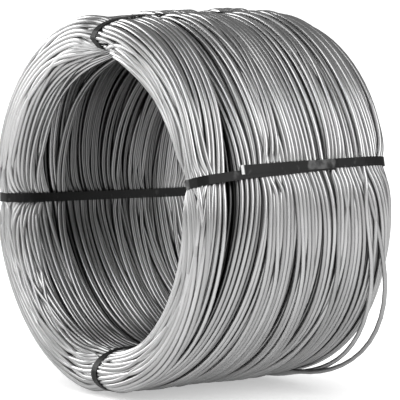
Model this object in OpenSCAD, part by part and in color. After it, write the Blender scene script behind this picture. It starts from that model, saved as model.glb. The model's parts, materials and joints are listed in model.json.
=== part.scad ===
// Coil of round stainless steel wire, wound in layers and bound by four flat straps.
// It lies on its side: the axis of the coil runs along X and the floor is the plane z = 0.

/* [Wire coil] */
// Diameter of the wire
wire_d = 6.5; // [4.5:0.5:8]
// Diameter of the bore
bore_d = 400; // [340:5:420]
// Depth of the wound wire, from the bore to the crests of the outermost turns
coil_wall = 65; // [50:1:100]
// Width over the crests of the turns at the two ends
coil_w = 330; // [280:5:400]
// Depth along the axis over which each end of the coil is rounded
end_round = 60; // [40:5:70]
// How far neighbouring turns bed into each other
turn_nest = 0.3; // [0.2:0.1:0.6]
// Depth trued off the crests of the end turns where they run into the bore
bore_trim = 0.1; // [0.05:0.05:0.3]
// Depth of the groove where the turns of the near rim part from the body
rim_groove = 8; // [0:1:12]
// Width of that rim, from the near end to the groove
rim_w = 67; // [67:1:110]

/* [Straps] */
// Width of the strap
strap_w = 12.7; // [9:0.1:19]
// Thickness of the strap
strap_t = 0.5; // [0.4:0.1:0.8]
// Clearance between a strap and the crests that it is drawn over
strap_gap = 0.15; // [0.1:0.05:0.3]
// Length over which the two ends of a strap overlap
lap_l = 156; // [60:2:160]
// Place of the middle of the overlap along the axis
lap_x = -19; // [-24:1:24]
// Depth by which the two overlapping ends bed into each other
lap_bed = 0.1; // [0.05:0.05:0.2]
// Sideways slip between the two overlapping ends on the front strap
lap_slip = 2.5; // [0:0.5:4]
// Place of the top strap, in degrees about the axis from the top towards the front
top_angle = 0; // [-20:1:20]
// Place of the front strap, in the same degrees
front_angle = 75; // [70:1:110]
// Place of the back strap, in the same degrees
back_angle = 270; // [250:1:290]

/* [Hidden] */

// The coil lies on its bottom strap
bottom_angle = 180;

// The section's outline runs through the middles of the turns: two straight runs joined by two half ellipses
wire_r = wire_d / 2;
bore_r = bore_d / 2;
coil_r = bore_r + coil_wall;
crest_bore_r = bore_r - bore_trim;
mid_r = (coil_r + crest_bore_r) / 2;
half_run = coil_w / 2 - end_round;
end_depth = end_round - wire_r;
end_half = (coil_r - crest_bore_r) / 2 - wire_r;

// Sides of a turn's section, with a corner at each crest
turn_sides = 12;

// Turns stand a little closer than one wire apart, so that their sections join
turn_pitch = wire_d - turn_nest;
run_turns = ceil(2 * half_run / turn_pitch);
rim_turn = round((rim_w - end_round) * run_turns / (2 * half_run));

// Length along a half ellipse, from the outer run to the bore, against the angle there
arc_steps = 90;
arc_step = 180 / arc_steps;
arc_table = [for (i = 0, t = 90, s = 0; i <= arc_steps;
                  i = i + 1, s = s + norm(on_ellipse(t - arc_step) - on_ellipse(t)), t = t - arc_step) [s, t]];
end_len = arc_table[arc_steps][0];
end_turns = ceil(end_len / turn_pitch);

// A flat strap sits across the hollow of the bore, so it stands off by the height of that hollow as well
strap_hollow = bore_r - sqrt(pow(bore_r, 2) - pow(strap_w / 2, 2));
strap_seat = wire_r + strap_gap + strap_hollow;

// It bends over each end at every crest and half way between them
strap_bends = 2 * end_turns;
lap_out = coil_r - wire_r + strap_seat + strap_t;

// The lap stays on the straight outer run
lap_fit = min(lap_l, 2 * (half_run - abs(lap_x)));

// The lap of the bottom strap lies on the floor
axis_z = lap_out + strap_t;

// Colours of the drawn wire and of the painted strap
wire_colour = [0.72, 0.73, 0.74];
strap_colour = [0.06, 0.06, 0.07];

// Points are [away from the middle of the wall, along the axis]
function on_ellipse(t) = [end_half * sin(t), end_depth * cos(t)];
function ellipse_normal(t) = let (n = [end_depth * sin(t), end_half * cos(t)]) n / norm(n);

// A point of the far end's half ellipse at angle t, moved out by off
function far_end(t, off) = [0, half_run] + on_ellipse(t) + off * ellipse_normal(t);

// The near end is the far end's mirror image
function near_end(t, off) = let (p = far_end(t, off)) [p[0], -p[1]];

// From the section's own frame to [distance from the axis, along the axis]
function in_section(p) = [mid_r + p[0], p[1]];

// Middles of the turns that show, in order along the outside and round the two ends
function run_step(i) = -half_run + 2 * half_run * i / run_turns;
function run_depth(i) = i == rim_turn ? rim_groove : 0;
function end_angle(share) = lookup(end_len * share, arc_table);
turn_middles = [
    for (i = [0:run_turns - 1]) in_section([end_half - run_depth(i), run_step(i)]),
    for (i = [0:end_turns]) in_section(far_end(end_angle(i / end_turns), 0)),
    for (i = [0:end_turns - 1]) in_section(near_end(end_angle(1 - i / end_turns), 0))
];

// The section's outline at a distance off from the middles of the turns
function outline(off) = [
    for (i = [0:strap_bends]) in_section(far_end(end_angle(i / strap_bends), off)),
    for (i = [0:strap_bends]) in_section(near_end(end_angle(1 - i / strap_bends), off))
];

// Half plane of the section inside the bore
module bore_section() {
    translate([0, -coil_w]) square([bore_r, 2 * coil_w]);
}

// Section of the innermost turns, which are drawn level along the bore
module bore_wall() {
    translate([crest_bore_r, -half_run]) square([mid_r - crest_bore_r, 2 * half_run]);
}

// Section of the wound wire: round turns along the outside and round the ends of a filled middle
module coil_section() {
    difference() {
        union() {
            polygon(turn_middles);
            for (p = turn_middles) translate(p) circle(d = wire_d, $fn = turn_sides);
            bore_wall();
        }
        bore_section();
    }
}

// Lifts a shape turned about Z onto the axis of the coil
module on_axis() {
    translate([0, 0, axis_z]) rotate([0, 90, 0]) children();
}

module wire_coil() {
    color(wire_colour) on_axis() rotate_extrude($fn = 180) coil_section();
}

// Band round the section, with its two ends lapped on the outer run
module strap_section() {
    difference() {
        polygon(outline(strap_seat + strap_t));
        polygon(outline(strap_seat));
    }
}

module strap(angle, slip = 0) {
    color(strap_colour) translate([0, 0, axis_z]) rotate([angle, 0, 0]) {
        rotate([-90, -90, 0]) linear_extrude(strap_w, center = true) strap_section();
        translate([lap_x - lap_fit / 2, -slip - strap_w / 2, lap_out - lap_bed])
            cube([lap_fit, strap_w, strap_t + lap_bed]);
    }
}

module strap_top() { strap(top_angle); }
module strap_front() { strap(front_angle, lap_slip); }
module strap_bottom() { strap(bottom_angle); }
module strap_back() { strap(back_angle); }

wire_coil();
strap_top();
strap_front();
strap_bottom();
strap_back();
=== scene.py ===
"""Scene of a coil of stainless steel wire that is bound by four flat straps and lies on its side.

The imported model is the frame. The turns of the wire are laid in layers under the outline that the straps hold, pressed
against one another slice by slice round the axis, and swept into round wire by Geometry Nodes. Each strap is drawn taut
over the settled turns, with its two ends lapped, and swept into a flat band.

Lengths are in metres. Angles are in degrees about the axis of the coil, from the top towards the front.
"""
import json
import logging
import math
from dataclasses import dataclass
from enum import Enum
from typing import ClassVar

import bpy
import numpy as np
from bpy.types import ID, Material, Node, NodeSocket, NodeTree, Object, World, bpy_prop_collection
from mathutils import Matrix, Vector


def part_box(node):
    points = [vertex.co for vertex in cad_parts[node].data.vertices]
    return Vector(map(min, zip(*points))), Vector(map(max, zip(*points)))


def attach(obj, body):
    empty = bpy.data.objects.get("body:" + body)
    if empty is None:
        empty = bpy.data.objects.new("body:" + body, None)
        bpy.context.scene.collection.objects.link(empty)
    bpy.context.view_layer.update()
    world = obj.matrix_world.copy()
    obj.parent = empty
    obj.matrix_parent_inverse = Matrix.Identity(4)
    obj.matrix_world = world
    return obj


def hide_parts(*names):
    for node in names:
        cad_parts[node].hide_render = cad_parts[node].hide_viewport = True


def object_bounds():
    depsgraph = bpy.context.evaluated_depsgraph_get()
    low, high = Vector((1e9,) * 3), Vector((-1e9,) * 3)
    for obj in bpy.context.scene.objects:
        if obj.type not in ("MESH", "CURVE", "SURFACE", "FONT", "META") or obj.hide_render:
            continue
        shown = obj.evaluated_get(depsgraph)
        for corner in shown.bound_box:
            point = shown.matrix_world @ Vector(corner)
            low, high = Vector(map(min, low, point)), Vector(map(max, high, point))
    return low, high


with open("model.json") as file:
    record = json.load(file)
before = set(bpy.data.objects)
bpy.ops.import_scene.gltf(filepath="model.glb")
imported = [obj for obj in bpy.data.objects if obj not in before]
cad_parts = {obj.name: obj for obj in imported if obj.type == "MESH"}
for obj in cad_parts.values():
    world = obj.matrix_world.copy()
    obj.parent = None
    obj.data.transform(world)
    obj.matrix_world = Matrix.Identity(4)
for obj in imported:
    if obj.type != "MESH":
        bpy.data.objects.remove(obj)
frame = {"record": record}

CAD_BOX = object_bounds()
LOG = logging.getLogger("wire_coil")
ROOT = "root"
MM = 0.001


def srgb(hex_colour: str) -> tuple[float, float, float, float]:
    """Turn an sRGB hex colour into the linear colour that a shader socket takes.

    Args:
        hex_colour: six hex digits, with or without a leading hash.

    Returns:
        Linear red, green and blue, and an alpha of 1.
    """
    digits = hex_colour.lstrip("#")
    parts = [int(digits[i:i + 2], 16) / 255 for i in (0, 2, 4)]
    linear = [c / 12.92 if c <= 0.04045 else ((c + 0.055) / 1.055) ** 2.4 for c in parts]
    return (*linear, 1.0)


def add_node(tree: NodeTree, kind: str, inputs: dict | None = None, **settings: str) -> Node:
    """Add a node with its settings, and fill its inputs with values or links.

    Args:
        tree: node tree that takes the node.
        kind: the node's type name.
        inputs: input name or number to a value, or to an output socket that is linked to it.
        settings: properties of the node itself.

    Returns:
        The new node.
    """
    node = tree.nodes.new(kind)
    for name, value in settings.items():
        setattr(node, name, value)
    for key, value in (inputs or {}).items():
        socket = node.inputs[key]
        if isinstance(value, NodeSocket):
            tree.links.new(value, socket)
        else:
            socket.default_value = value
    return node


def empty_tree(owner: Material | World) -> NodeTree:
    """Give a new material or world an empty node tree.

    Args:
        owner: the material or world.

    Returns:
        Its node tree.
    """
    owner.use_nodes = True
    owner.node_tree.nodes.clear()
    return owner.node_tree


def put(name: str, data: ID) -> Object:
    """Put a new object that shows a mesh, a light or a camera into the scene.

    Args:
        name: name of the object.
        data: what it shows.

    Returns:
        The object.
    """
    thing = bpy.data.objects.new(name, data)
    bpy.context.scene.collection.objects.link(thing)
    return thing


class Zone(Enum):
    """Part of the coil that a piece of turns belongs to."""

    OUTER = "turns_outer"
    FAR_RIM = "turns_far_rim"
    BORE = "turns_bore"
    NEAR_RIM = "turns_near_rim"
    UNDER_OUTER = "turns_under_outer"
    UNDER_BORE = "turns_under_bore"
    LOOSE = "turns_loose"


class Stretch(Enum):
    """Part of the coil's outer side, as pairs of places along the axis: where it fades in, and where it is full."""

    WHOLE = ()
    RIM = ((-84 * MM, -104 * MM),)
    BODY = ((-96 * MM, -66 * MM), (150 * MM, 110 * MM))

    def weight(self, along: np.ndarray) -> np.ndarray | float:
        """Weigh places along the axis.

        Args:
            along: the places.

        Returns:
            1 where the part is full and 0 outside it, for each place.
        """
        share = 1.0
        for start, full in self.value:
            share = share * np.clip((along - start) / (full - start), 0, 1)
        return share


@dataclass(frozen=True)
class CoilSize:
    """Sizes of the coil."""

    wire_d: float  # Diameter of the wire
    end_round: float  # Depth along the axis over which each end is rounded
    half_w: float  # Half of the coil's width along its axis
    bore_r: float  # Radius of the bore
    coil_r: float  # Radius over the outermost turns
    axis_z: float  # Height of the axis above the floor
    box: tuple[Vector, Vector]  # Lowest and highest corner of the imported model

    @classmethod
    def from_frame(cls, wire_d: float = 6.5 * MM, end_round: float = 60 * MM) -> "CoilSize":
        """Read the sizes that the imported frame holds.

        Args:
            wire_d: diameter of the wire.
            end_round: depth of the rounded ends.

        Returns:
            The coil's sizes.
        """
        low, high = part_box("wire_coil")
        bore = next(m for m in frame["record"]["mounts"] if m["name"] == "bore")
        radius = (high.z - low.z) / 2
        return cls(wire_d, end_round, high.x, bore["dims"]["r_mm"] * MM, radius, bore["pos_m"][2], CAD_BOX)

    @property
    def mid_r(self) -> float:
        """Radius of the middle of the wound wall."""
        return (self.bore_r + self.coil_r) / 2

    @property
    def half_wall(self) -> float:
        """Half of the depth of the wound wall."""
        return (self.coil_r - self.bore_r) / 2

    @property
    def half_run(self) -> float:
        """Half of the straight run between the rounded ends."""
        return self.half_w - self.end_round

    @property
    def wire_r(self) -> float:
        """Radius of the wire."""
        return self.wire_d / 2


@dataclass(frozen=True)
class Span:
    """Stretch round the axis over which something fades in and out."""

    angle: float  # Its middle
    spread: float  # Degrees from its middle to where it has faded out


@dataclass(frozen=True)
class LooseTurn:
    """One outer turn that has sprung away from the coil between two straps."""

    axial: float  # Place along the axis where it lies on the coil
    sprung_axial: float  # Place along the axis in the middle of the sprung stretch
    radius: float  # Its distance from the axis of the coil there
    sway: Span  # Where it moves along the axis
    stand: Span  # Where it stands off the coil


@dataclass(frozen=True)
class StrapPlan:
    """One strap, which runs from its outer end over the far end, through the bore and over the near end."""

    node: str  # Name of its CAD node
    angle: float  # Its place
    bite: float = 2.2 * MM  # How far it draws the outer turns in
    bore_bite: float = 0.0  # How far it draws the turns of the bore out
    bore_width: float = 9  # Degrees over which the turns of the bore follow
    tip: float = -97 * MM  # Place of its outer end along the axis
    lap: float = 156 * MM  # Length over which its two ends overlap
    # Sideways places at the outer end, far end, near end, under the outer end and at the inner end
    skew: tuple[float, float, float, float, float] = (0.0, 0.0, 0.0, 0.0, 0.0)
    lift: float = 0.0  # How far the outer end stands up
    # Stretches of worn paint, and of painted sheen on the bends over the near rim, by distance from the outer end, or
    # below 0 from where it laps
    scuffs_and_sheen: tuple[tuple[float, float], ...] = ()


@dataclass(frozen=True)
class Dent:
    """Place where the outer side lies lower, or higher where its depth is below 0."""

    depth: float  # How much lower it lies
    span: Span  # Where it lies round the axis
    stretch: Stretch  # Where it lies along the axis


@dataclass(frozen=True)
class Layer:
    """Turns that lie at one depth under the outline."""

    inset: float  # Depth under the outline, in wire diameters
    gap: float  # Mean gap between two bundles of turns along the outline
    own: float  # Spread of each turn's own drift along the outline
    sides: int  # Sides of the wire's section
    painted_shade: float  # Painted shade on the turns, darker for the deeper layers, from 0 to 1
    open: float = 0.0  # Half of the width of the groove that it leaves behind the near rim

    @property
    def covered(self) -> bool:
        """Whether the layers above hide most of it."""
        return self.inset > 2


@dataclass(frozen=True)
class Parting:
    """Place where neighbouring turns stand apart, or come together where its gap is below 0."""

    share: float  # Place on the outline, as a share of its length from the near end of the outer run
    span: Span  # Where it lies round the axis
    gap: float  # Half of its width
    width: float  # Distance over which the turns beside it are crowded


@dataclass(frozen=True)
class Riders:
    """Bundles of turns that cross over the first layer."""

    bundles: int = 34  # Number of bundles
    # Chance of the outside, the far rim, the bore and the near rim
    chances: tuple[float, float, float, float] = (0.34, 0.1, 0.16, 0.4)
    reach: tuple[float, float] = (12 * MM, 28 * MM)  # Least and largest size of a bundle's wander along the outline
    most: int = 3  # Largest number of turns in a bundle
    pitch: float = 1.08  # Distance between its turns, in wire diameters
    own: float = 0.8 * MM  # Spread of each turn's own wander
    off_groove: float = 45 * MM  # Distance from the groove within which a bundle is moved
    moved: float = 60 * MM  # How far it is moved
    over: float = 0.2  # Height over the outline at which they are laid, in wire diameters
    room: float = 0.3  # Height over the outline that is left to them, in wire diameters
    bore_shade: float = 0.5  # Painted shade on them in the bore
    sides: int = 8  # Sides of the wire's section


@dataclass(frozen=True)
class Pressing:
    """How the turns are pressed apart."""

    steps: int = 150  # Number of rounds
    relist: int = 8  # Number of rounds between two listings of the neighbours
    reach: float = 1.6  # Distance within which two turns are neighbours, in wire diameters
    give: float = 0.7  # Share of each overlap that one round takes away
    smooth: float = 0.2  # How much one round evens the turns out
    pull: float = 0.012  # How much it draws them back to where they were laid
    last_steps: int = 3  # Rounds at the end that only even the turns out
    last_smooth: float = 0.25  # How much each of those does


@dataclass
class Turns:
    """Paths of some turns, in the section of the coil."""

    paths: np.ndarray  # Places along the axis and away from the middle of the wall, by slice, turn and coordinate
    room: np.ndarray  # How far each turn may stand outside the outline, by slice and turn
    zones: list[Zone]  # Zone of each turn
    sides: list[int]  # Sides of each turn's section
    painted_shades: list[float]  # Painted shade on each turn, from 0 to 1

    @classmethod
    def joined(cls, groups: list["Turns"]) -> "Turns":
        """Join groups of turns.

        Args:
            groups: the groups.

        Returns:
            All their turns.
        """
        paths = np.concatenate([group.paths for group in groups], axis=1)
        room = np.concatenate([group.room for group in groups], axis=1)
        zones, sides, painted_shades = (sum((getattr(g, name) for g in groups), []) for name in ("zones", "sides", "painted_shades"))
        return cls(paths, room, zones, sides, painted_shades)


@dataclass
class Winding:
    """The turns of the coil, worked out as paths in its section."""

    size: CoilSize
    straps: tuple[StrapPlan, ...]  # The straps, in order round the axis
    loose: tuple[LooseTurn, ...] = ()  # Turns that have sprung away
    # The layers, from the outline inwards
    layers: tuple[Layer, ...] = (
        Layer(inset=0.75, gap=5.0 * MM, own=0.5 * MM, sides=8, painted_shade=0.0, open=11 * MM),
        Layer(inset=1.65, gap=4.0 * MM, own=1.2 * MM, sides=8, painted_shade=0.6, open=8 * MM),
        Layer(inset=2.55, gap=3.0 * MM, own=2.5 * MM, sides=5, painted_shade=0.9),
        Layer(inset=3.4, gap=6.0 * MM, own=3.0 * MM, sides=5, painted_shade=1.0),
    )
    # Where the coil bears on the floor, the near rim is flattened and the body stands off the floor
    dents: tuple[Dent, ...] = (
        Dent(-7 * MM, Span(187.5, 9), Stretch.WHOLE),
        Dent(4 * MM, Span(6, 15), Stretch.RIM),
        Dent(11 * MM, Span(158, 24), Stretch.RIM),
        Dent(13 * MM, Span(163, 38), Stretch.BODY),
    )
    # Where the groove closes again, with the change of half of its width
    closings: tuple[tuple[Span, float], ...] = ((Span(140, 75), -15 * MM), (Span(225, 70), -10 * MM))
    drawn: float = 45 * MM  # Distance over which the turns beside the closing groove are drawn with it
    riders: Riders = Riders()
    pressing: Pressing = Pressing()
    slices: int = 136  # Number of slices round the axis
    partings: int = 40  # Number of gaps between neighbouring turns
    groove: float = -110 * MM  # Place of the groove behind the near rim at the front strap
    groove_depth: float = 20 * MM  # How far the turns dip there
    groove_width: float = 7 * MM  # Half of the width over which they dip
    deepest: Span = Span(50, 85)  # Where they dip most
    lay: float = 45 * MM  # How far the near rim has slid towards the body at the top, and into the bore at the bottom
    # Pairs of an angle and the share of that slide there
    slide: tuple[tuple[float, float], ...] = (
        (0, 1.0), (40, 0.6), (76, 0.0), (105, -0.45), (140, -0.6), (180, -0.8),
        (215, -1.0), (237, -0.9), (272, -0.4), (300, 0.0), (330, 0.6), (360, 1.0),
    )
    drift: float = 6 * MM  # Spread of the drift along the outline that neighbouring turns share
    lift: float = 0.7 * MM  # Spread of each turn's own drift in depth
    untidy: float = 4.0  # How much more the turns of the bore drift on their own
    bore_shade: float = 0.7  # Least painted shade on the turns of the bore
    rim_shade: float = 1.5  # How much more painted shade the deeper turns of the near rim get
    swell: float = 5 * MM  # How far the wall swells between two straps
    bore_swell: float = 0.3  # Share of that by which the bore narrows
    wide_bore: Span = Span(160, 34)  # Where it doesn't narrow
    fullness: float = 1.5  # How much squarer the ends are between two straps
    fullest: Span = Span(112, 50)  # Where they are squarest
    sag: float = 7 * MM  # How far the far end bulges
    sagging: Span = Span(118, 48)  # Where it bulges
    recess: float = 8 * MM  # How far the turns of the bore lie back behind the near rim
    lip: float = 98 * MM  # Distance of the recess from the middle of the coil, along the axis
    lip_most: float = 104 * MM  # Largest such distance where the near rim has slid
    slope: float = 26 * MM  # Length over which the recess falls back
    clear: float = 0.2 * MM  # Room left under a strap
    seed: int = 7  # Seed of every random draw

    def __post_init__(self) -> None:
        """Work out what holds for every layer."""
        self.random = np.random.default_rng(self.seed)
        self.angles = np.radians(self.slice_angles())
        self.end_depth = self.size.end_round - self.size.wire_r - self.clear
        self.end_half = self.size.half_wall - self.size.wire_r - self.clear
        self.free = self.between_straps()
        self.power = 2 + self.fullness * self.free * (1 + self.window(self.fullest))
        self.slid = np.interp(np.degrees(self.angles), *zip(*self.slide))
        self.far_sag = self.sag * self.window(self.sagging) * self.free
        self.girth = self.outline(0.0)[2]
        self.run_share = 2 * self.size.half_run / self.girth
        self.groove_share = (self.groove + self.size.half_run) / self.girth
        self.gaps = self.part()

    def slice_angles(self) -> np.ndarray:
        """Choose the slices, one at the middle of each strap and the others closest together beside them.

        Returns:
            The slices' angles.
        """
        crowd = 0.65  # How much closer together they are there, from 0 to 1
        marks = [strap.angle for strap in self.straps]
        parts = []
        for start, end in zip(marks, marks[1:] + [marks[0] + 360]):
            count = round(self.slices * (end - start) / 360)
            step = np.arange(count) / count
            parts.append(start + (end - start) * (step - crowd * np.sin(2 * np.pi * step) / (2 * np.pi)))
        self.slices = sum(len(part) for part in parts)
        return np.concatenate(parts)

    def away_from(self, angle: float) -> np.ndarray:
        """Measure how far each slice lies from an angle, in degrees between -180 and 180."""
        return (np.degrees(self.angles) - angle + 180) % 360 - 180

    def between_straps(self) -> np.ndarray:
        """Weigh each slice by how far it lies from the straps.

        Returns:
            0 under a strap and 1 well away from it, for each slice.
        """
        under, rise = 1.4, 3.6  # Degrees from a strap's middle to its edge, and over which the turns rise beside it
        weight = np.ones(self.slices)
        for strap in self.straps:
            past = np.maximum(np.abs(self.away_from(strap.angle)) - under, 0)
            weight *= 1 - np.exp(-((past / rise) ** 2))
        return weight

    def window(self, span: Span) -> np.ndarray:
        """Weigh each slice: 1 in the middle of a span and 0 outside it."""
        away = self.away_from(span.angle)
        return np.where(np.abs(away) < span.spread, np.cos(np.pi * away / span.spread / 2) ** 2, 0.0)

    def part(self) -> list[Parting]:
        """Choose where the turns part: where the groove closes, and in many small gaps.

        Returns:
            The partings.
        """
        random = self.random
        spreads, crowded = (35, 80), (25 * MM, 50 * MM)  # Ranges of a gap's spread and of the turns crowded beside it
        least, most, bore_most = 2 * MM, 5 * MM, 8 * MM  # Half of the gaps' width
        gaps = [Parting(self.groove_share, span, gap, self.drawn) for span, gap in self.closings]
        for _ in range(self.partings):
            share = random.uniform(0, 1)
            widest = bore_most if self.zone_of(share) is Zone.BORE else most
            span = Span(random.uniform(0, 360), random.uniform(*spreads))
            gaps.append(Parting(share, span, random.uniform(least, widest), random.uniform(*crowded)))
        return gaps

    def crest(self, along: np.ndarray) -> np.ndarray:
        """Height of the outline's outer side over the middle of the wall.

        Args:
            along: places along the axis, by slice and place or for every slice alike.

        Returns:
            The height, by slice and place.
        """
        reach = 40  # Degrees from a strap within which its bite counts
        far = np.clip(along / self.size.half_run, 0, 1) ** 2
        height = self.end_half + self.swell * self.free[:, None] + self.far_sag[:, None] * far
        for strap in self.straps:
            close = np.abs(self.away_from(strap.angle)) < reach
            height = height - strap.bite * np.where(close, 1 - self.free, 0)[:, None]
        past = (along - self.groove - self.lay * self.slid[:, None]) / self.groove_width
        height = height - self.groove_depth * self.window(self.deepest)[:, None] * np.exp(-past ** 2)
        for dent in self.dents:
            height = height - dent.depth * self.window(dent.span)[:, None] * dent.stretch.weight(along)
        return height

    def bed(self, along: np.ndarray) -> np.ndarray:
        """Depth of the outline's bore side under the middle of the wall.

        Args:
            along: places along the axis, by slice and place or for every slice alike.

        Returns:
            The depth, by slice and place.
        """
        depth = self.end_half + self.bore_swell * self.swell * self.free * (1 - self.window(self.wide_bore))
        for strap in self.straps:
            depth = depth - strap.bore_bite * np.exp(-((self.away_from(strap.angle) / strap.bore_width) ** 2))
        near = np.maximum(-self.lip - self.lay * self.slid, -self.lip_most)[:, None]
        behind = np.clip((along - near) / self.slope, 0, 1) * np.clip((self.lip - along) / self.slope, 0, 1)
        return depth[:, None] - self.recess * self.free[:, None] * behind

    def outline(self, inset: float) -> tuple[np.ndarray, np.ndarray, float]:
        """Closed line of a layer in each slice: along the outside, round the far end, in the bore, round the near end.

        Args:
            inset: depth of the layer under the outline.

        Returns:
            Share of the line's length at each of its points, by slice; the points, by slice; and the mean length.
        """
        run, reach = self.size.half_run, self.end_depth - inset
        steps = 60  # Points on each of the four parts
        step = np.linspace(0, 1, steps, endpoint=False)[None, :]
        along, turn = -run + 2 * run * step, np.pi * step
        blunt = 2 / self.power[:, None]
        side, rise = np.abs(np.sin(turn)) ** blunt, np.abs(np.cos(turn)) ** blunt
        near, far = (self.crest(np.full((1, 1), x)) - inset for x in (-run, run))
        into = self.bed(np.full((1, 1), run)) - inset
        wide = np.ones((self.slices, 1))
        parts = [
            (along * wide, self.crest(along) - inset),
            (run + reach * side, np.where(np.cos(turn) > 0, far * rise, -into * rise)),
            (-along * wide, inset - self.bed(-along)),
            (-run - reach * side, np.where(np.cos(turn) > 0, -into * rise, near * rise)),
        ]
        line = np.concatenate([np.stack(part, axis=-1) for part in parts], axis=1)
        line = np.concatenate([line, line[:, :1]], axis=1)
        length = np.cumsum(np.linalg.norm(np.diff(line, axis=1), axis=-1), axis=1)
        length = np.concatenate([np.zeros((self.slices, 1)), length], axis=1)
        return length / length[:, -1:], line, float(length[:, -1].mean())

    def on_outline(self, inset: float, share: np.ndarray) -> np.ndarray:
        """Places on a layer's line.

        Args:
            inset: depth of the layer under the outline.
            share: shares of the line's length, by slice and turn.

        Returns:
            Places by slice, turn and coordinate.
        """
        marks, line, _ = self.outline(inset)
        paths = np.empty((*share.shape, 2))
        for k in range(self.slices):
            for axis in (0, 1):
                paths[k, :, axis] = np.interp(share[k] % 1, marks[k], line[k, :, axis])
        return paths

    def waves(self, count: int, most: int) -> np.ndarray:
        """Smooth closed wander of single turns.

        Args:
            count: number of turns.
            most: largest number of waves in one turn.

        Returns:
            Wander of spread about 1, by slice and turn.
        """
        wander = np.zeros((self.slices, count))
        for turns in range(1, most + 1):
            size, phase = self.random.normal(0, 1, (1, count)), self.random.uniform(0, 2 * np.pi, (1, count))
            wander += size / turns * np.cos(turns * self.angles[:, None] + phase)
        return wander

    def past_groove(self, share: np.ndarray | float) -> np.ndarray | float:
        """Measure how far places on the outline lie from the groove, as shares of its length between -0.5 and 0.5."""
        return (share - self.groove_share + 0.5) % 1 - 0.5

    def shared_drift(self, share: np.ndarray, depth: float) -> np.ndarray:
        """Drift along the outline that neighbouring turns share, with the gaps where they part.

        Args:
            share: where the turns were laid, as shares of the outline's length.
            depth: depth of the layer, in wire diameters.

        Returns:
            The drift by slice and turn.
        """
        random = np.random.default_rng(self.seed + 1)
        angle, share = self.angles[:, None], share[None, :]
        drift = np.zeros((self.slices, share.shape[1]))
        count, most_turns, most_waves = 16, 3, 5  # Waves added up, and most turns of one round the axis and outline
        shift, fade = 0.5, 0.35  # Change of a wave's phase and loss of a gap with each wire diameter of depth
        for _ in range(count):
            turns = random.integers(1, most_turns + 1)
            waves = random.integers(1, most_waves + 1) * random.choice((-1, 1))
            phase = random.uniform(0, 2 * np.pi) + shift * depth * random.choice((-1, 1))
            drift += np.cos(turns * angle + 2 * np.pi * waves * share + phase) / math.sqrt(turns)
        # The waves' sum has a spread of about 2.2
        drift *= self.drift / 2.2
        # The near rim slides as a whole, and the far rim and the far part of the bore stay
        run = self.run_share
        follow = np.interp(share, [0, run, 0.5, 0.5 + run, 0.9, 1], [1, 0, 0, 0.8, 1, 1])
        drift += self.lay * self.slid[:, None] * follow
        for gap in self.gaps:
            away = ((share - gap.share + 0.5) % 1 - 0.5) * self.girth
            wide = gap.gap * max(0.0, 1 - fade * depth)
            drift += self.window(gap.span)[:, None] * wide * np.sign(away) * np.exp(-np.abs(away) / gap.width)
        return drift

    def zone_of(self, share: float) -> Zone:
        """Say which part of the outline a place lies on.

        Args:
            share: share of the outline's length.

        Returns:
            The zone.
        """
        share %= 1
        if share < self.run_share:
            return Zone.OUTER
        if share < 0.5:
            return Zone.FAR_RIM
        return Zone.BORE if share < 0.5 + self.run_share else Zone.NEAR_RIM

    def bundles(self, layer: Layer, girth: float) -> np.ndarray:
        """Place turns side by side in bundles, with a gap after each bundle and none in the groove.

        Args:
            layer: the layer.
            girth: length of its outline.

        Returns:
            Places of the turns, as shares of the outline's length.
        """
        least, most, pitch = 2, 6, (1.0, 1.06)  # Turns in a bundle, and their distance in wire diameters
        wide, rim_gap = (0.4, 1.6), 1.8  # Width of a gap in mean gaps, and how much wider it is on the near rim
        places, at = [], 0.0
        while at < girth - self.size.wire_d:
            for _ in range(self.random.integers(least, most + 1)):
                places.append(at)
                at += self.random.uniform(*pitch) * self.size.wire_d
            loosely = rim_gap if self.zone_of(at / girth) is Zone.NEAR_RIM else 1.0
            at += self.random.uniform(*wide) * layer.gap * loosely
        share = np.array(places) / at
        return share[np.abs(self.past_groove(share)) * girth >= layer.open]

    def lay_layer(self, layer: Layer) -> Turns:
        """Lay one layer of turns.

        Args:
            layer: the layer.

        Returns:
            Its turns.
        """
        inset = layer.inset * self.size.wire_d
        girth = self.outline(inset)[2]
        share = self.bundles(layer, girth)
        count = len(share)
        zones = [self.zone_of(s) for s in share]
        untidy = np.array([self.untidy if zone is Zone.BORE else 1.0 for zone in zones])
        drift = self.shared_drift(share, layer.inset) + layer.own * untidy * self.waves(count, 3)
        paths = self.on_outline(inset, share + drift / girth)
        past = np.sign(paths[..., 0]) * np.maximum(np.abs(paths[..., 0]) - self.size.half_run, 0)
        outward = np.stack([past / self.end_depth ** 2, paths[..., 1] / self.end_half ** 2], axis=-1)
        outward /= np.linalg.norm(outward, axis=-1, keepdims=True)
        paths += outward * (self.lift * untidy * self.waves(count, 4))[..., None]
        # Painted shade: the turns of the bore get at least the bore's share, and the near rim's deeper turns more
        painted_shade_by_zone = {Zone.BORE: max(layer.painted_shade, self.bore_shade), Zone.NEAR_RIM: self.rim_shade * layer.painted_shade}
        painted_shades = [min(painted_shade_by_zone.get(zone, layer.painted_shade), 1.0) for zone in zones]
        if layer.covered:
            # One piece takes the outside with most of the near rim, the other the bore with most of the far rim
            rim = 0.15
            zones = [Zone.UNDER_OUTER if (s + rim) % 1 < 0.5 else Zone.UNDER_BORE for s in share]
        return Turns(paths, np.zeros(paths.shape[:2]), zones, [layer.sides] * count, painted_shades)

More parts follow.
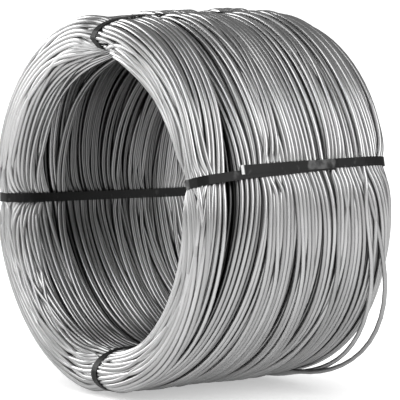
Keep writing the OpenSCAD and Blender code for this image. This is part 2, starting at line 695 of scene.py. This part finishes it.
    def lay_riders(self) -> Turns:
        """Lay the bundles of turns that cross over the first layer.

        Returns:
            Their turns.
        """
        plan, random, run, wire = self.riders, self.random, self.run_share, self.size.wire_d
        spans = {Zone.OUTER: (0, run), Zone.FAR_RIM: (run, 0.5),
                 Zone.BORE: (0.5, 0.5 + run), Zone.NEAR_RIM: (0.5 + run, 1)}
        shares, zones = [], []
        for _ in range(plan.bundles):
            zone = list(spans)[random.choice(len(spans), p=plan.chances)]
            wander = random.uniform(*plan.reach) * self.waves(1, 1)
            middle = random.uniform(*spans[zone]) * self.girth
            past = self.past_groove(middle / self.girth)
            if abs(past) * self.girth < plan.off_groove:
                middle += math.copysign(plan.moved, past)
            for k in range(random.integers(1, plan.most + 1)):
                shares.append(middle + plan.pitch * k * wire + wander + plan.own * self.waves(1, 3))
                zones.append(zone)
        share = np.concatenate(shares, axis=1) / self.girth
        paths = self.on_outline(-plan.over * wire, share)
        room = np.repeat(plan.room * wire * self.free[:, None], share.shape[1], axis=1)
        # Painted shade on the riders that lie in the bore
        painted_shades = [plan.bore_shade * (zone is Zone.BORE) for zone in zones]
        return Turns(paths, room, zones, [plan.sides] * len(zones), painted_shades)

    def lay_loose(self) -> Turns:
        """Lay the turns that have sprung away.

        Returns:
            Their turns.
        """
        room = 200 * MM  # How far they may stand off the outline
        paths, rooms = [], []
        for turn in self.loose:
            moved, sprung = (self.window(span)[:, None] for span in (turn.sway, turn.stand))
            along = turn.axial + (turn.sprung_axial - turn.axial) * moved
            past = np.clip((np.abs(along) - self.size.half_run) / self.end_depth, 0, 1)
            height = self.crest(along) * (1 - past ** self.power[:, None]) ** (1 / self.power[:, None])
            paths.append(np.stack([along, height + (turn.radius - self.size.mid_r - height) * sprung], axis=-1))
            rooms.append(room * sprung)
        count = len(paths)
        return Turns(np.concatenate(paths, axis=1), np.concatenate(rooms, axis=1), [Zone.LOOSE] * count,
                     [self.riders.sides] * count, [0.0] * count)

    def neighbours(self, paths: np.ndarray, reach: float) -> tuple[np.ndarray, np.ndarray]:
        """List the pairs of turns that lie close together in a slice.

        Args:
            paths: paths by slice, turn and coordinate.
            reach: largest distance between the middles of a pair.

        Returns:
            Two lists of flat slice and turn numbers.
        """
        count = paths.shape[1]
        first, second = [], []
        upper = np.triu(np.ones((count, count), bool), 1)
        for k, at in enumerate(paths.astype(np.float32)):
            gap = (at[:, None, 0] - at[None, :, 0]) ** 2 + (at[:, None, 1] - at[None, :, 1]) ** 2
            i, j = np.nonzero((gap < reach * reach) & upper)
            first.append(i + k * count)
            second.append(j + k * count)
        return np.concatenate(first), np.concatenate(second)

    def confine(self, paths: np.ndarray, room: np.ndarray) -> None:
        """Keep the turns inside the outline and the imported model's box.

        Args:
            paths: paths by slice, turn and coordinate, changed in place.
            room: how far each turn may stand outside the outline, by slice and turn.
        """
        size = self.size
        margin, least = 0.05 * MM, 0.05  # Room left at a side of the box, and how much a slice must face it to count
        along, depth = paths[..., 0], paths[..., 1]
        half = np.where(depth > 0, self.crest(along), self.bed(along)) + room
        past = np.maximum(np.abs(along) - size.half_run, 0)
        power = self.power[:, None]
        ratio = ((past / self.end_depth) ** power + (np.abs(depth) / half) ** power) ** (1 / power)
        shrink = 1 / np.maximum(ratio, 1)
        depth *= shrink
        along[...] = np.where(past > 0, np.sign(along) * (size.half_run + past * shrink), along)
        low, high = size.box
        edge = size.wire_r + margin
        np.clip(along, low.x + edge, high.x - edge, out=along)
        front, up = np.sin(self.angles), np.cos(self.angles)
        reach = np.full(self.slices, np.inf)
        for share, limit in ((front, -low.y), (-front, high.y), (up, high.z - size.axis_z), (-up, size.axis_z - low.z)):
            reach = np.minimum(reach, np.where(share > least, (limit - edge) / np.maximum(share, least), np.inf))
        np.minimum(depth, reach[:, None] - size.mid_r, out=depth)

    @staticmethod
    def even_out(paths: np.ndarray, share: float) -> None:
        """Draw each turn, in place, towards the mean of its neighbouring slices by a share from 0 to 0.5."""
        paths += share * (np.roll(paths, 1, 0) + np.roll(paths, -1, 0) - 2 * paths)

    def settle(self) -> Turns:
        """Lay the turns and press them apart until they bear on one another.

        Returns:
            All turns.
        """
        turns = Turns.joined([self.lay_layer(layer) for layer in self.layers] + [self.lay_riders(), self.lay_loose()])
        plan, wire = self.pressing, self.size.wire_d
        wanted, paths = turns.paths.copy(), turns.paths
        shape, tiny = paths.shape[:2], 0.001 * MM
        for step in range(plan.steps):
            if step % plan.relist == 0:
                first, second = self.neighbours(paths, plan.reach * wire)
            flat = paths.reshape(-1, 2)
            apart = flat[first] - flat[second]
            gap = np.maximum(np.hypot(apart[:, 0], apart[:, 1]), tiny)
            push = apart * (0.5 * np.maximum(wire - gap, 0) / gap)[:, None]
            for axis in (0, 1):
                moved = np.bincount(first, push[:, axis], len(flat)) - np.bincount(second, push[:, axis], len(flat))
                paths[..., axis] += plan.give * moved.reshape(shape)
            self.even_out(paths, plan.smooth)
            paths += plan.pull * (wanted - paths)
            self.confine(paths, turns.room)
        for _ in range(plan.last_steps):
            self.even_out(paths, plan.last_smooth)
            self.confine(paths, turns.room)
        return turns

    def in_space(self, paths: np.ndarray) -> np.ndarray:
        """Turn paths in the section into points in the frame.

        Args:
            paths: paths by slice, turn and coordinate.

        Returns:
            Points by turn, slice and coordinate.
        """
        radius = self.size.mid_r + paths[..., 1]
        turn = self.angles[:, None]
        points = np.stack([paths[..., 0], -radius * np.sin(turn), self.size.axis_z + radius * np.cos(turn)], axis=-1)
        return points.transpose(1, 0, 2)


@dataclass(frozen=True)
class DrawnStainless:
    """Bright drawn stainless steel wire."""

    steel: str = "#CACACA"  # Colour of a turn at its brightest
    dull: str = "#AAAAAA"  # Colour of a turn at its dullest
    painted_shade_colour: str = "#484848"  # Colour of the painted shade on the turns
    gloss: float = 0.25  # Lowest roughness
    haze: float = 0.4  # Highest roughness
    shown: tuple[float, float] = (0.3, 0.7)  # Values of the streaks' noise at which those two are reached
    patch: float = 71.4 * MM  # Size of the patches that handling leaves brighter or duller
    # The die's own lines, some hundredths of a millimetre wide, are too fine to show, so they are drawn this coarse
    streak: float = 0.65 * MM  # Width of the streaks along the wire

    def build(self, wire_r: float) -> Material:
        """Make the material.

        Args:
            wire_r: radius of the wire.

        Returns:
            The material.
        """
        # The die leaves a smooth bright skin, so the eye gets a sharp light stripe along each turn. The streaks make
        # the stripe uneven, and each turn has its own brightness. Deeper turns and the bore are darkened as painted
        # shade.
        material = bpy.data.materials.new("drawn_stainless_wire")
        tree = empty_tree(material)
        tone, ring, painted_shade = (add_node(tree, "ShaderNodeAttribute", attribute_name=name).outputs
                             for name in ("tone", "ring", "painted_shade"))
        place = add_node(tree, "ShaderNodeTexCoord")
        patch = add_node(tree, "ShaderNodeTexNoise", {
            "Vector": place.outputs["Object"], "Scale": 1 / self.patch, "Detail": 3.0})
        streak = add_node(tree, "ShaderNodeTexNoise", {
            "Vector": ring["Vector"], "W": tone["Fac"], "Scale": wire_r / self.streak, "Detail": 4.0},
            noise_dimensions="4D")
        mix = add_node(tree, "ShaderNodeMath", {0: tone["Fac"], 1: patch.outputs["Fac"]}, operation="MULTIPLY")
        # The noise is about a half, so this brings the mix back to between 0 and 1
        blend = add_node(tree, "ShaderNodeMath", {0: mix.outputs[0], 1: 2.0}, operation="MULTIPLY")
        colour = add_node(tree, "ShaderNodeMix", {
            0: blend.outputs[0], 6: srgb(self.dull), 7: srgb(self.steel)}, data_type="RGBA")
        rough = add_node(tree, "ShaderNodeMapRange", {
            "Value": streak.outputs["Fac"], "From Min": self.shown[0], "From Max": self.shown[1],
            "To Min": self.gloss, "To Max": self.haze})
        # Painted shade, mixed in by each turn's share of it
        painted_shade_mix = add_node(tree, "ShaderNodeMix", {
            0: painted_shade["Fac"], 6: colour.outputs[2], 7: srgb(self.painted_shade_colour)}, data_type="RGBA")
        shader = add_node(tree, "ShaderNodeBsdfPrincipled", {
            "Base Color": painted_shade_mix.outputs[2], "Metallic": 1.0, "Roughness": rough.outputs[0]})
        add_node(tree, "ShaderNodeOutputMaterial", {"Surface": shader.outputs[0]})
        return material


@dataclass(frozen=True)
class PaintedStrap:
    """Black painted steel strapping."""

    paint: str = "#0D0D0D"  # Colour of the paint
    scuff_and_sheen: str = "#5D5D5D"  # Colour of worn paint, also used as painted sheen
    steel: str = "#F0F0F0"  # Colour of the bare cut end, whitened as a painted gleam
    sheen: float = 0.5  # Roughness of the paint
    shine: float = 0.3  # Its specular level
    bright: float = 0.5  # How metallic the bare end is; the rest is matt white, a painted gleam
    worn_and_sheen: tuple[float, float] = (0.6, 0.85)  # Values of the noise between which the paint turns grey, as wear and as painted sheen
    harder: float = 0.25  # How much a scuff or a painted sheen adds to that noise
    # The scratches in worn paint are too fine to show, so the wear and the painted sheen are drawn as whole patches
    lightening: float = 11.1 * MM  # Size of the patches of worn paint and painted sheen

    def build(self) -> Material:
        """Make the material.

        Returns:
            The material.
        """
        # Thin paint over smooth strip, so the eye gets a flat black band with a soft sheen. Where the strap was worn it
        # is grey, and the same grey is painted sheen on its bends over the near rim. The cut end is bare steel,
        # whitened as a painted gleam.
        material = bpy.data.materials.new("black_painted_strapping")
        tree = empty_tree(material)
        place = add_node(tree, "ShaderNodeTexCoord")
        wear_and_sheen, bare_end_gleam = (add_node(tree, "ShaderNodeAttribute", attribute_name=name).outputs for name in ("wear_and_sheen", "bare_end_gleam"))
        lightening = add_node(tree, "ShaderNodeTexNoise", {
            "Vector": place.outputs["Object"], "Scale": 1 / self.lightening, "Detail": 5.0})
        push = add_node(tree, "ShaderNodeMath", {
            0: wear_and_sheen["Fac"], 1: self.harder, 2: lightening.outputs["Fac"]}, operation="MULTIPLY_ADD")
        worn_and_sheen = add_node(tree, "ShaderNodeMapRange", {
            "Value": push.outputs[0], "From Min": self.worn_and_sheen[0], "From Max": self.worn_and_sheen[1]})
        colour = add_node(tree, "ShaderNodeMix", {
            0: worn_and_sheen.outputs[0], 6: srgb(self.paint), 7: srgb(self.scuff_and_sheen)}, data_type="RGBA")
        # Painted gleam: the bare cut end is mixed to near white
        cut = add_node(tree, "ShaderNodeMix", {
            0: bare_end_gleam["Fac"], 6: colour.outputs[2], 7: srgb(self.steel)}, data_type="RGBA")
        metal = add_node(tree, "ShaderNodeMath", {0: bare_end_gleam["Fac"], 1: self.bright}, operation="MULTIPLY")
        shader = add_node(tree, "ShaderNodeBsdfPrincipled", {
            "Base Color": cut.outputs[2], "Metallic": metal.outputs[0], "Roughness": self.sheen,
            "Specular IOR Level": self.shine})
        add_node(tree, "ShaderNodeOutputMaterial", {"Surface": shader.outputs[0]})
        return material


@dataclass
class Sweep:
    """Geometry Nodes tree that sweeps a section along lines."""

    finish: Material  # Material of what is swept
    name: ClassVar[str]  # Name of the tree
    sizes: ClassVar[dict[str, str]]  # Name of each of the section's sizes to the kind of its socket
    smooth: ClassVar[bool]  # Whether it is shaded smooth

    def __post_init__(self) -> None:
        """Make the tree: the section is swept along each line and dressed."""
        tree = self.tree = bpy.data.node_groups.new(self.name, "GeometryNodeTree")
        kinds = {"Geometry": "NodeSocketGeometry", **self.sizes, "Finish": "NodeSocketMaterial"}
        self.sockets = {key: tree.interface.new_socket(key, in_out="INPUT", socket_type=kind).identifier
                        for key, kind in kinds.items()}
        tree.interface.new_socket("Geometry", in_out="OUTPUT", socket_type="NodeSocketGeometry")
        given = add_node(tree, "NodeGroupInput").outputs
        lines = add_node(tree, "GeometryNodeMeshToCurve", {0: given["Geometry"]})
        swept = add_node(tree, "GeometryNodeCurveToMesh", {
            "Curve": self.held(lines.outputs[0]), "Profile Curve": self.section(given), "Fill Caps": True})
        shaded = add_node(tree, "GeometryNodeSetShadeSmooth", {
            "Geometry": swept.outputs[0], "Shade Smooth": self.smooth})
        real = add_node(tree, "GeometryNodeRealizeInstances", {0: shaded.outputs[0]})
        dressed = add_node(tree, "GeometryNodeSetMaterial", {"Geometry": real.outputs[0], "Material": given["Finish"]})
        add_node(tree, "NodeGroupOutput", {0: dressed.outputs[0]})

    def held(self, lines: NodeSocket) -> NodeSocket:
        """Give the lines as they are, with the sections left to turn with them."""
        return lines

    def section(self, given: bpy_prop_collection) -> NodeSocket:
        """Make the section from the tree's inputs."""
        raise NotImplementedError

    def run(self, name: str, points: np.ndarray, closed: bool, marks: dict[str, np.ndarray],
            sizes: dict[str, float]) -> Object:
        """Sweep a set of lines into one plain mesh.

        Args:
            name: name of the piece.
            points: points by line, step and coordinate.
            closed: whether each line runs back to its first point.
            marks: name of an attribute to its values, by line and step, or by line, step and coordinate.
            sizes: name of each of the section's sizes to its value.

        Returns:
            The piece.
        """
        count, steps, _ = points.shape
        index = np.arange(count * steps).reshape(count, steps)
        edges = np.stack([index, np.roll(index, -1, axis=1)], axis=-1)
        if not closed:
            edges = edges[:, :-1]
        lines = bpy.data.meshes.new(name + "_lines")
        lines.from_pydata(points.reshape(-1, 3).tolist(), edges.reshape(-1, 2).tolist(), [])
        for mark, values in marks.items():
            vector = values.ndim == 3
            stored = lines.attributes.new(mark, "FLOAT_VECTOR" if vector else "FLOAT", "POINT")
            stored.data.foreach_set("vector" if vector else "value", values.astype(np.float32).ravel())
        piece = put(name, lines)
        modifier = piece.modifiers.new("sweep", "NODES")
        modifier.node_group = self.tree
        for key, value in {**sizes, "Finish": self.finish}.items():
            modifier[self.sockets[key]] = value
        graph = bpy.context.evaluated_depsgraph_get()
        plain = bpy.data.meshes.new_from_object(piece.evaluated_get(graph))
        piece.modifiers.remove(modifier)
        piece.data = plain
        plain.name = name
        bpy.data.meshes.remove(lines)
        return piece


@dataclass
class WireSweep(Sweep):
    """Sweep of round wire."""

    name: ClassVar[str] = "sweep_wire"
    sizes: ClassVar[dict[str, str]] = {"Wire Radius": "NodeSocketFloat", "Sides": "NodeSocketInt"}
    smooth: ClassVar[bool] = True

    def section(self, given: bpy_prop_collection) -> NodeSocket:
        """Make a circle that stores each point's direction from its middle, which the streaks follow.

        Args:
            given: the tree's inputs.

        Returns:
            The section's curve.
        """
        circle = add_node(self.tree, "GeometryNodeCurvePrimitiveCircle", {
            "Resolution": given["Sides"], "Radius": given["Wire Radius"]})
        where = add_node(self.tree, "GeometryNodeInputPosition")
        unit = add_node(self.tree, "ShaderNodeVectorMath", {0: where.outputs[0]}, operation="NORMALIZE")
        ring = add_node(self.tree, "GeometryNodeStoreNamedAttribute", {
            "Geometry": circle.outputs[0], "Name": "ring", "Value": unit.outputs[0]}, data_type="FLOAT_VECTOR")
        return ring.outputs[0]


@dataclass
class BandSweep(Sweep):
    """Sweep of flat band."""

    name: ClassVar[str] = "sweep_band"
    sizes: ClassVar[dict[str, str]] = {"Width": "NodeSocketFloat", "Thickness": "NodeSocketFloat"}
    smooth: ClassVar[bool] = False

    def held(self, lines: NodeSocket) -> NodeSocket:
        """Hold the band square to the side that each line carries."""
        side = add_node(self.tree, "GeometryNodeInputNamedAttribute", {"Name": "side"}, data_type="FLOAT_VECTOR")
        held = add_node(self.tree, "GeometryNodeSetCurveNormal", {
            "Curve": lines, "Normal": side.outputs[0]}, mode="FREE")
        return held.outputs[0]

    def section(self, given: bpy_prop_collection) -> NodeSocket:
        """Make a flat rectangle from the tree's inputs."""
        flat = add_node(self.tree, "GeometryNodeCurvePrimitiveQuadrilateral", {
            "Width": given["Width"], "Height": given["Thickness"]})
        return flat.outputs[0]


@dataclass
class WireCoil:
    """The wound wire."""

    winding: Winding  # Paths of the turns
    finish: DrawnStainless  # Finish of the wire
    lit_bore_floor: Span = Span(215, 48)  # Where painted light falls on the turns of the bore's floor
    lightening: float = 0.95  # How much of their painted shade that painted light takes off there

    def __post_init__(self) -> None:
        """Settle the turns."""
        self.turns = self.winding.settle()

    def build(self) -> list[Object]:
        """Make the turns, in one piece for each zone of the coil.

        Returns:
            The pieces.
        """
        winding, turns, wire_r = self.winding, self.turns, self.winding.size.wire_r
        points = winding.in_space(turns.paths)
        tone = winding.random.uniform(0, 1, (len(points), 1)) * np.ones((1, winding.slices))
        # Painted light: the turns of the bore lose most of their painted shade where light falls on its floor
        kept = 1 - self.lightening * np.outer([zone is Zone.BORE for zone in turns.zones], winding.window(self.lit_bore_floor))
        marks = {"tone": tone, "painted_shade": np.array(turns.painted_shades)[:, None] * kept}
        sweep = WireSweep(self.finish.build(wire_r))
        pieces = []
        for zone in Zone:
            chosen = [i for i, z in enumerate(turns.zones) if z is zone]
            own = {mark: values[chosen] for mark, values in marks.items()}
            piece = sweep.run(zone.value, points[chosen], True, own,
                              {"Wire Radius": wire_r, "Sides": turns.sides[chosen[0]]})
            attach(piece, ROOT)
            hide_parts("wire_coil")
            LOG.info("%s: %d turns, %d faces", zone.value, len(chosen), len(piece.data.polygons))
            pieces.append(piece)
        return pieces


@dataclass
class TautStrap:
    """Path of one strap over the settled turns."""

    plan: StrapPlan
    winding: Winding  # The winding that it binds
    turns: Turns  # The settled turns
    thick: float  # Thickness of the strap
    ease: float = 0.1 * MM  # Room between the strap and the turns, and between its two lapped ends
    spacing: float = 2.0 * MM  # Distance between the path's points
    reach: float = 7 * MM  # Distance to each side of its middle within which it bears on the turns
    step_down: float = 8 * MM  # Length over which it comes down from the lap
    curl: float = 11 * MM  # Length of the outer end that stands up
    fade: float = 4 * MM  # Length over which a scuff or a painted sheen fades in
    cut: float = 5 * MM  # Length of the bare cut end, which carries the painted gleam

    @staticmethod
    def half_hull(line: list[tuple[float, float]]) -> list[tuple[float, float]]:
        """Keep the points of a sorted line that a taut string over it would touch.

        Args:
            line: the points in order.

        Returns:
            The points that are touched, without the last one.
        """
        kept: list[tuple[float, float]] = []
        for x, y in line:
            while len(kept) > 1:
                (ax, ay), (bx, by) = kept[-2], kept[-1]
                if (bx - ax) * (y - ay) - (by - ay) * (x - ax) < 0:
                    break
                kept.pop()
            kept.append((x, y))
        return kept[:-1]

    def hull(self) -> np.ndarray:
        """Draw a line taut round the middles of the turns under the strap.

        Returns:
            Corners of the line in the section, clockwise with the axis to the right and the outside up.
        """
        low, high = min(0.0, *self.plan.skew), max(0.0, *self.plan.skew)
        away = np.radians(self.winding.away_from(self.plan.angle)) * self.winding.size.mid_r
        under = (away > low - self.reach) & (away < high + self.reach)
        points = sorted(map(tuple, self.turns.paths[under].reshape(-1, 2).tolist()))
        return np.array(self.half_hull(points) + self.half_hull(points[::-1]))

    def loop(self) -> np.ndarray:
        """Move the taut line out to the middle of the strap's thickness, with a round bend at each corner.

        Returns:
            Points of the closed line, with the first one repeated at the end.
        """
        bends = 3  # Points in a bend
        corners = self.hull()
        ahead = np.roll(corners, -1, axis=0) - corners
        turn = np.arctan2(ahead[:, 0], -ahead[:, 1])
        off = self.winding.size.wire_r + self.ease + self.thick / 2
        points = []
        for corner, start, end in zip(corners, np.roll(turn, 1), turn):
            sweep = (end - start + np.pi) % (2 * np.pi) - np.pi
            for angle in start + sweep * np.linspace(0, 1, bends):
                points.append(corner + off * np.array([math.cos(angle), math.sin(angle)]))
        return np.array(points + points[:1])

    def path(self) -> tuple[np.ndarray, dict[str, np.ndarray]]:
        """Run the strap once round and over its own start.

        Returns:
            Its points by step and coordinate, and its marks.
        """
        plan, size = self.plan, self.winding.size
        loop = self.loop()
        length = np.concatenate([[0], np.cumsum(np.linalg.norm(np.diff(loop, axis=0), axis=1))])
        girth = length[-1]
        fine = np.arange(0, girth, 1 * MM)
        along, depth = (np.interp(fine, length, loop[:, axis]) for axis in (0, 1))
        start = fine[np.argmin(np.where(depth > 0, np.abs(along - plan.tip), np.inf))]
        step = np.linspace(0, girth + plan.lap, int((girth + plan.lap) / self.spacing))
        line = np.stack([np.interp((start + step) % girth, length, loop[:, axis]) for axis in (0, 1)], axis=-1)
        ahead = np.gradient(line, axis=0)
        outward = np.stack([-ahead[:, 1], ahead[:, 0]], axis=-1) / np.linalg.norm(ahead, axis=1, keepdims=True)
        over = 1 - np.clip((step - plan.lap) / self.step_down, 0, 1)
        over = over * over * (3 - 2 * over) * (self.thick + self.ease)
        over += plan.lift * np.clip(1 - step / self.curl, 0, 1) ** 2
        line += outward * over[:, None]
        once = step < girth
        far, near = step[once][np.argmax(line[once, 0])], step[once][np.argmin(line[once, 0])]
        aside = np.interp(step, [0, far, near, girth, girth + plan.lap], plan.skew)
        turn = math.radians(plan.angle)
        radius = size.mid_r + line[:, 1]
        side = np.array([0, -math.cos(turn), -math.sin(turn)])
        points = np.stack([line[:, 0], -radius * math.sin(turn), size.axis_z + radius * math.cos(turn)], axis=-1)
        points += aside[:, None] * side
        # Worn paint, and painted sheen on the bends over the near rim, along the strap
        wear_and_sheen = np.zeros(len(step))
        for low, high in plan.scuffs_and_sheen:
            from_start = step if low > 0 else step - girth
            wear_and_sheen = np.maximum(wear_and_sheen, np.clip(np.minimum(from_start - low, high - from_start) / self.fade, 0, 1))
        # The bare cut end, whitened as a painted gleam where the outer end stands up
        bare_end_gleam = np.where((step < self.cut) & (plan.lift > 0), 1.0, 0.0)
        return points, {"wear_and_sheen": wear_and_sheen, "bare_end_gleam": bare_end_gleam, "side": np.repeat(side[None], len(step), axis=0)}


@dataclass
class Straps:
    """The four straps."""

    coil: WireCoil  # The coil that they bind
    finish: PaintedStrap  # Finish of the straps
    width: float = 12.7 * MM  # Width of a strap
    thick: float = 0.5 * MM  # Thickness of a strap

    def build(self) -> list[Object]:
        """Make the straps.

        Returns:
            The pieces.
        """
        sweep = BandSweep(self.finish.build())
        pieces = []
        for plan in self.coil.winding.straps:
            points, marks = TautStrap(plan, self.coil.winding, self.coil.turns, self.thick).path()
            piece = sweep.run(plan.node.replace("strap", "band"), points[None], False,
                              {mark: values[None] for mark, values in marks.items()},
                              {"Width": self.width, "Thickness": self.thick})
            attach(piece, ROOT)
            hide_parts(plan.node)
            LOG.info("%s: %d points, %d faces", piece.name, len(points), len(piece.data.polygons))
            pieces.append(piece)
        return pieces


@dataclass(frozen=True)
class Softbox:
    """A soft light that faces the coil."""

    name: str  # Name of the light
    place: tuple[float, float, float]  # Where it stands
    width: float  # Its width
    height: float  # Its height
    power: float  # Its power in watts


@dataclass(frozen=True)
class Studio:
    """Floor, light and camera."""

    size: CoilSize
    lights: tuple[Softbox, ...] = (
        Softbox("left_softbox", place=(-1.95, 0.0, 1.75), width=1.7, height=2.8, power=31),
        Softbox("back_softbox", place=(-0.9, 2.4, 1.05), width=1.8, height=1.4, power=40),
        Softbox("front_softbox", place=(0.4, -2.2, 1.6), width=2.4, height=2.5, power=47),
    )
    room: float = 0.25  # Brightness of the room round the floor
    half_floor: float = 60.0  # Half of the floor's width
    white: str = "#F0F0F0"  # Colour of the floor
    mirrored: float = 0.3  # Share of the floor's own white that the metal shows
    painted_shadow_oval: tuple[float, float, float] = (1.0, 0.75, 1.0)  # Scale of each axis in the distances below, which shape the painted shadow
    fade: tuple[float, float] = (0.14, 0.36)  # Distances between which the floor's own white grows from the painted shadow to its full strength
    shaded: float = 0.45  # Its strength under the coil, a painted shadow
    azimuth: float = -35.4  # Camera's place round the coil, in degrees from straight in front towards +X
    elevation: float = 6.0  # Camera's height, in degrees
    distance: float = 19.4  # Camera's distance from the middle of the coil, in outer radii
    scale: float = 188.2 / 400  # Share of the picture's width that the outer radius takes
    # Place of the coil's middle right of and above the picture's centre, as shares of its width
    shift: tuple[float, float] = (-9.7 / 400, 0.0)

    def build(self) -> None:
        """Make the floor, the light and the camera."""
        self.world()
        self.floor()
        for light in self.lights:
            self.softbox(light)
        self.camera()

    def world(self) -> None:
        """Make the dim room that the metal shows above the floor."""
        world = bpy.data.worlds.new("studio")
        bpy.context.scene.world = world
        tree = empty_tree(world)
        grey = add_node(tree, "ShaderNodeBackground", {"Color": srgb("#FFFFFF"), "Strength": self.room})
        add_node(tree, "ShaderNodeOutputWorld", {"Surface": grey.outputs[0]})

    def floor(self) -> None:
        """Make a plain white floor that keeps the shadow, with a painted shadow round the coil, and fills the picture.
        """
        half = self.half_floor
        mesh = bpy.data.meshes.new("floor")
        mesh.from_pydata([(-half, -half, 0), (half, -half, 0), (half, half, 0), (-half, half, 0)], [], [(0, 1, 2, 3)])
        floor = put("floor", mesh)
        # Matt white paper, so the eye gets an even white with no gloss. Its own white is dimmed round the coil as a
        # painted shadow, under the real soft shadow
        material = bpy.data.materials.new("matt_white_paper")
        tree = empty_tree(material)
        path = add_node(tree, "ShaderNodeLightPath").outputs
        other = add_node(tree, "ShaderNodeMath", {
            0: path["Is Glossy Ray"], 1: path["Is Transmission Ray"]}, operation="MAXIMUM")
        seen = add_node(tree, "ShaderNodeMath", {
            0: other.outputs[0], 1: self.mirrored, 2: path["Is Camera Ray"]}, operation="MULTIPLY_ADD")
        place = add_node(tree, "ShaderNodeTexCoord")
        painted_shadow_oval = add_node(tree, "ShaderNodeVectorMath", {0: place.outputs["Object"], 1: self.painted_shadow_oval}, operation="MULTIPLY")
        away = add_node(tree, "ShaderNodeVectorMath", {0: painted_shadow_oval.outputs["Vector"]}, operation="LENGTH")
        # Painted shadow: the floor's own white is dimmed in an oval round the coil
        fill = add_node(tree, "ShaderNodeMapRange", {
            "Value": away.outputs["Value"], "From Min": self.fade[0], "From Max": self.fade[1], "To Min": self.shaded,
            "To Max": 1.0}, interpolation_type="SMOOTHSTEP")
        glow = add_node(tree, "ShaderNodeMath", {0: fill.outputs[0], 1: seen.outputs[0]}, operation="MULTIPLY")
        light = add_node(tree, "ShaderNodeEmission", {"Color": srgb("#FFFFFF"), "Strength": glow.outputs[0]})
        pale = add_node(tree, "ShaderNodeBsdfDiffuse", {"Color": srgb(self.white)})
        both = add_node(tree, "ShaderNodeAddShader", {0: pale.outputs[0], 1: light.outputs[0]})
        add_node(tree, "ShaderNodeOutputMaterial", {"Surface": both.outputs[0]})
        mesh.materials.append(material)

    def softbox(self, light: Softbox) -> None:
        """Add a soft light.

        Args:
            light: the light.
        """
        data = bpy.data.lights.new(light.name, "AREA")
        data.shape = "RECTANGLE"
        data.size, data.size_y = light.width, light.height
        data.energy = light.power
        lamp = put(light.name, data)
        lamp.location = light.place
        aim = Vector((0, 0, self.size.axis_z)) - Vector(light.place)
        lamp.rotation_euler = aim.to_track_quat("-Z", "Y").to_euler()

    def camera(self) -> None:
        """Stand the camera where the photo was taken from."""
        turn, rise = math.radians(self.azimuth), math.radians(self.elevation)
        back = Vector((math.sin(turn) * math.cos(rise), -math.cos(turn) * math.cos(rise), math.sin(rise)))
        data = bpy.data.cameras.new("camera")
        data.sensor_width = 36.0
        data.lens = data.sensor_width * self.scale * self.distance
        data.shift_x, data.shift_y = -self.shift[0], -self.shift[1]
        camera = put("camera", data)
        camera.location = Vector((0, 0, self.size.axis_z)) + back * self.distance * self.size.coil_r
        camera.rotation_euler = (-back).to_track_quat("-Z", "Y").to_euler()
        bpy.context.scene.camera = camera
        bpy.context.scene.view_settings.view_transform = "Standard"


def main() -> None:
    """Build the whole scene."""
    logging.basicConfig(level=logging.INFO, format="%(name)s: %(message)s")
    size = CoilSize.from_frame()
    loose = (
        LooseTurn(axial=98 * MM, sprung_axial=163 * MM, radius=320 * MM, sway=Span(127, 60), stand=Span(127, 34)),
        LooseTurn(axial=110 * MM, sprung_axial=150 * MM, radius=288 * MM, sway=Span(136, 45), stand=Span(136, 26)),
    )
    # Scuffs counted from the outer end are worn paint; those counted from the lap are painted sheen on the bends over
    # the near rim
    straps = (
        StrapPlan("strap_top", 0, bite=2.4 * MM, bore_bite=14 * MM, bore_width=11),
        StrapPlan("strap_front", 76.2, bore_bite=3 * MM, skew=(-5.5 * MM, -5.5 * MM, 5.5 * MM, 1 * MM, -3.5 * MM),
                  lift=1.2 * MM, scuffs_and_sheen=((108 * MM, 158 * MM), (-92 * MM, -78 * MM))),
        StrapPlan("strap_bottom", 180),
        StrapPlan("strap_back", 268, bore_bite=3 * MM, skew=(0.0, -7 * MM, 2.4 * MM, 0.0, 0.0),
                  scuffs_and_sheen=((-75 * MM, -48 * MM),)),
    )
    coil = WireCoil(Winding(size, straps, loose), DrawnStainless())
    pieces = coil.build() + Straps(coil, PaintedStrap()).build()
    LOG.info("%d pieces", len(pieces))
    Studio(size).build()


if __name__ == "__main__":
    main()
